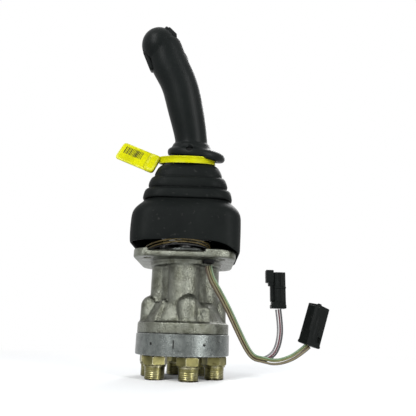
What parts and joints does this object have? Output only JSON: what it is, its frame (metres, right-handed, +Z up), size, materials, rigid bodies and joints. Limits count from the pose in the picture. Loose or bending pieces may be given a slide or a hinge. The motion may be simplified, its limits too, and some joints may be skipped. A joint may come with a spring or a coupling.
{
  "type": "hydraulic pilot joystick valve",
  "caption": "Hydraulic pilot control valve with a sprung joystick: cast body with ring of threaded ports, tilting disc over plungers, rubber boot, curved grip and wiring.",
  "frame": {"origin": "centre of the mounting flange's underside, where it sits on the console plate", "axes": "+Z up along the lever, +X towards the operator's thumb side of the grip, -Y the side that the lever is cranked to"},
  "size_m": [0.2034, 0.1196, 0.3321],
  "materials": {
    "cast_aluminium": "as-cast, lightly blasted",
    "machined_aluminium": "turned",
    "plated_fitting": "yellow zinc plated",
    "bright_steel": "ground",
    "spring_steel": "oiled",
    "seal_rubber": "matt",
    "boot_rubber": "matt moulded",
    "grip_rubber": "fine matt grain",
    "switch_plastic": "matt",
    "tag_plastic": "moulded yellow",
    "connector_plastic": "moulded black",
    "contact_tin": "tin plated",
    "wire_insulation": "thin-wall insulation, mixed colours"
  },
  "bodies": {
    "valve": {"body_foot": "cast_aluminium", "connector_a_housing": "connector_plastic", "connector_a_latch": "connector_plastic", "connector_b_housing": "connector_plastic", "connector_b_pins": "contact_tin", "dowel_pins": "bright_steel", "fitting_seals": "seal_rubber", "harness_grommet": "seal_rubber", "harness_lead_a": "wire_insulation", "harness_lead_b": "wire_insulation", "harness_trunk": "wire_insulation", "joint_base": "bright_steel", "loop_grommet": "seal_rubber", "mounting_flange": "cast_aluminium", "plate_screws": "bright_steel", "plate_seal": "seal_rubber", "plunger_guides": "bright_steel", "plunger_seals": "seal_rubber", "port_fitting_1": "plated_fitting", "port_fitting_2": "plated_fitting", "port_fitting_3": "plated_fitting", "port_fitting_4": "plated_fitting", "port_fitting_5": "plated_fitting", "port_fitting_6": "plated_fitting", "port_plate": "machined_aluminium", "return_spring_back": "spring_steel", "return_spring_front": "spring_steel", "return_spring_left": "spring_steel", "return_spring_right": "spring_steel", "spring_seats": "bright_steel", "top_plate": "machined_aluminium", "top_plate_screws": "bright_steel", "valve_body": "cast_aluminium", "wire_loop": "wire_insulation"},
    "gimbal": {"joint_cross": "bright_steel"},
    "stick": {"upper_yoke": "bright_steel", "contact_disc": "bright_steel", "lock_nut": "bright_steel", "lever_rod": "bright_steel", "boot": "boot_rubber", "grip": "grip_rubber", "switch_bezel": "switch_plastic", "trigger_pin": "bright_steel", "grip_screw": "bright_steel", "tag_strap": "tag_plastic", "tag_plate": "tag_plastic"},
    "thumb_button": {"thumb_button": "switch_plastic"},
    "trigger": {"trigger": "switch_plastic"},
    "plunger_front": {"plunger_front": "bright_steel", "spool_front": "bright_steel"},
    "plunger_right": {"plunger_right": "bright_steel", "spool_right": "bright_steel"},
    "plunger_back": {"plunger_back": "bright_steel", "spool_back": "bright_steel"},
    "plunger_left": {"plunger_left": "bright_steel", "spool_left": "bright_steel"}
  },
  "joints": [
    {"name": "lever_tilt_sideways", "type": "hinge", "parent": "valve", "child": "gimbal", "pos_m": [0, 0, 0.025], "axis": [0, 1, 0], "range_deg": [-18, 18], "stiffness_Nm_per_rad": 8, "springref_deg": 0.38},
    {"name": "lever_tilt_fore_aft", "type": "hinge", "parent": "gimbal", "child": "stick", "pos_m": [0, 0, 0.025], "axis": [1, 0, 0], "range_deg": [-18, 18], "stiffness_Nm_per_rad": 8, "springref_deg": -0.79, "deforming": ["boot"]},
    {"name": "thumb_button_press", "type": "slide", "parent": "stick", "child": "thumb_button", "axis": [-0.682, 0.226, -0.6956], "range_m": [0, 0.002], "stiffness_N_per_m": 700, "springref_m": -0.0008},
    {"name": "trigger_press", "type": "hinge", "parent": "stick", "child": "trigger", "pos_m": [-0.04595, -0.0481, 0.20202], "axis": [0, -0.9511, -0.309], "range_deg": [0, 8], "stiffness_Nm_per_rad": 0.4, "springref_deg": -5.73},
    {"name": "plunger_front_slide", "type": "slide", "parent": "valve", "child": "plunger_front", "axis": [0, 0, 1], "range_m": [-0.0066, 0.0066], "deforming": ["return_spring_front"]},
    {"name": "plunger_right_slide", "type": "slide", "parent": "valve", "child": "plunger_right", "axis": [0, 0, 1], "range_m": [-0.0066, 0.0066], "deforming": ["return_spring_right"]},
    {"name": "plunger_back_slide", "type": "slide", "parent": "valve", "child": "plunger_back", "axis": [0, 0, 1], "range_m": [-0.0066, 0.0066], "deforming": ["return_spring_back"]},
    {"name": "plunger_left_slide", "type": "slide", "parent": "valve", "child": "plunger_left", "axis": [0, 0, 1], "range_m": [-0.0066, 0.0066], "deforming": ["return_spring_left"]}
  ],
  "couplings": [
    {"joint": "plunger_front_slide", "follows": "lever_tilt_fore_aft", "m_per_rad": -0.020685},
    {"joint": "plunger_right_slide", "follows": "lever_tilt_sideways", "m_per_rad": -0.020685},
    {"joint": "plunger_back_slide", "follows": "lever_tilt_fore_aft", "m_per_rad": 0.020685},
    {"joint": "plunger_left_slide", "follows": "lever_tilt_sideways", "m_per_rad": 0.020685}
  ]
}
